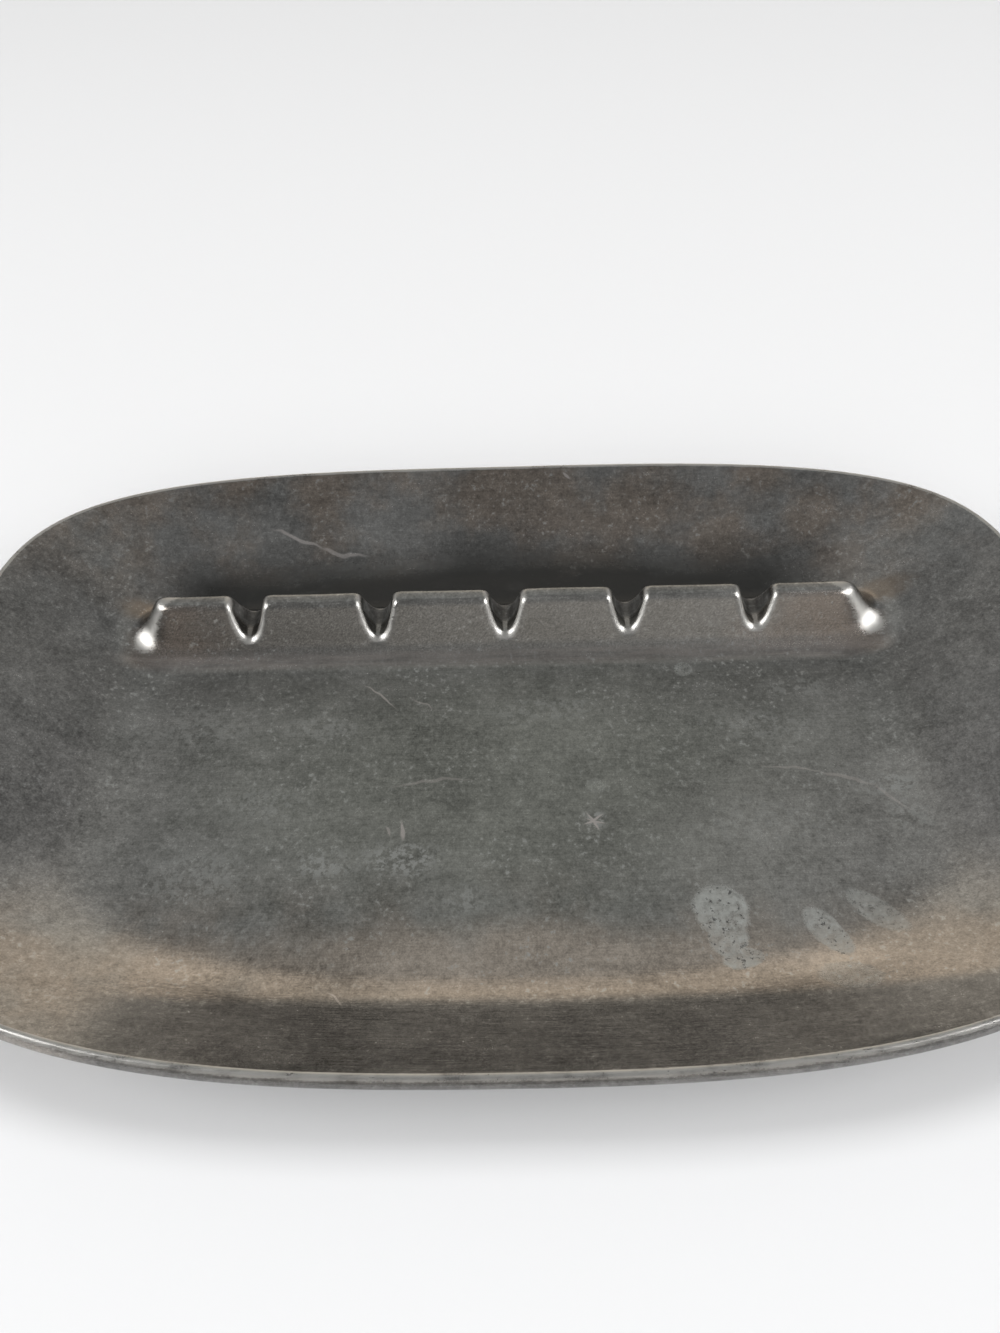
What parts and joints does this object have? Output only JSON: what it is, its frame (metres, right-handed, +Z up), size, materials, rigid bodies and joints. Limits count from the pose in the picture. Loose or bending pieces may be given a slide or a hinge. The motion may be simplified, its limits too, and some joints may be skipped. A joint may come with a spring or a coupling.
{
  "type": "ashtray dish",
  "caption": "Shallow cast metal dish with a bowed rectangular rim and an integral ridge of rounded notches that holds lit cigarettes over the tray.",
  "frame": {"origin": "middle of the dish in plan, on the table that its pads stand on", "axes": "+X along the long side, +Y towards the notched ridge, +Z up out of the dish"},
  "size_m": [0.2554, 0.1694, 0.0282],
  "materials": {
    "dish_metal": "aged, dull satin, brushed along its length",
    "pad_felt": "dark pressed felt"
  },
  "bodies": {
    "root": {"dish_casting": "dish_metal", "felt_pad_front_left": "pad_felt", "felt_pad_front_right": "pad_felt", "felt_pad_back_left": "pad_felt", "felt_pad_back_right": "pad_felt"}
  },
  "joints": []
}
